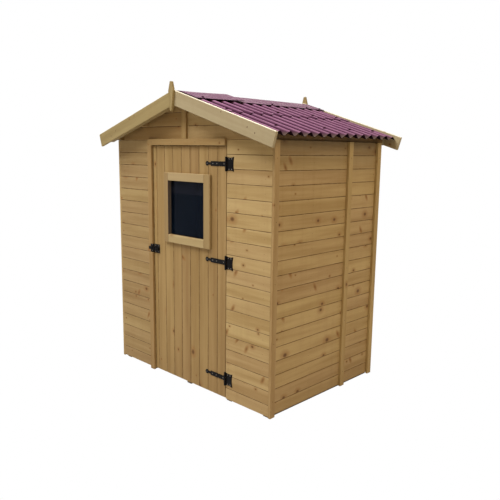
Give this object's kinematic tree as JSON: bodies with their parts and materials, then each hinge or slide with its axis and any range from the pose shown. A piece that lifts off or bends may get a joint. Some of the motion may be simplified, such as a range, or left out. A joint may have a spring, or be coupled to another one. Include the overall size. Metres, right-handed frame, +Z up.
{
  "type": "wooden garden shed",
  "caption": "Wooden garden shed with horizontal boards, a corrugated gabled roof with ridge caps, and a boarded door with a window, strap hinges and a sliding bolt.",
  "frame": {"origin": "on the ground, under the middle of the shed", "axes": "+Z up, -Y out of the front with the door, +X to the right seen from the front"},
  "size_m": [1.836, 1.398, 2.1216],
  "materials": {
    "wall_boards": "planed pine boards, honey stain",
    "frame_timber": "sawn pine",
    "cover_strips": "planed pine strip",
    "barge_timber": "planed pale pine",
    "floor_timber": "planed pine boards",
    "bearer_timber": "dark treated timber",
    "door_timber": "planed pine boards, honey stain",
    "window_trim": "planed pale pine",
    "roof_sheet": "matt bitumen sheet, wine red",
    "pane": "clear glass",
    "ironwork": "satin black"
  },
  "bodies": {
    "shed": {"floor_bearers": "bearer_timber", "floor_boards": "floor_timber", "front_wall_left": "wall_boards", "front_wall_right": "wall_boards", "right_wall_front": "wall_boards", "right_wall_rear": "wall_boards", "left_wall_front": "wall_boards", "left_wall_rear": "wall_boards", "back_wall_left": "wall_boards", "back_wall_right": "wall_boards", "front_gable_left": "wall_boards", "front_gable_right": "wall_boards", "back_gable_left": "wall_boards", "back_gable_right": "wall_boards", "side_wall_studs": "frame_timber", "end_wall_studs": "frame_timber", "gable_rails": "frame_timber", "gable_posts": "frame_timber", "corner_strips": "cover_strips", "joint_strips": "cover_strips", "gable_strips": "cover_strips", "door_head": "frame_timber", "door_head_strip": "cover_strips", "door_side_strip": "cover_strips", "eave_purlins": "frame_timber", "mid_purlins": "frame_timber", "ridge_purlins": "frame_timber", "front_barge_left": "barge_timber", "front_barge_right": "barge_timber", "back_barge_left": "barge_timber", "back_barge_right": "barge_timber", "finials": "barge_timber", "roof_right_lower": "roof_sheet", "roof_right_upper": "roof_sheet", "roof_left_lower": "roof_sheet", "roof_left_upper": "roof_sheet", "ridge_cap_rear": "roof_sheet", "ridge_cap_front": "roof_sheet", "hinge_plates": "ironwork", "bolt_keep": "ironwork"},
    "door": {"door_boards": "door_timber", "door_ledges": "frame_timber", "door_brace": "frame_timber", "window_stiles": "window_trim", "window_rails": "window_trim", "window_pane": "pane", "window_bead": "frame_timber", "hinge_straps": "ironwork", "bolt_plate": "ironwork"},
    "bolt": {"bolt_rod": "ironwork"}
  },
  "joints": [
    {"name": "door_hinge", "type": "hinge", "parent": "shed", "child": "door", "pos_m": [0.4075, -0.5795, 0.958], "axis": [0, 0, 1], "range_deg": [0, 160]},
    {"name": "bolt_slide", "type": "slide", "parent": "door", "child": "bolt", "axis": [-1, 0, 0], "range_m": [0, 0.03]}
  ]
}
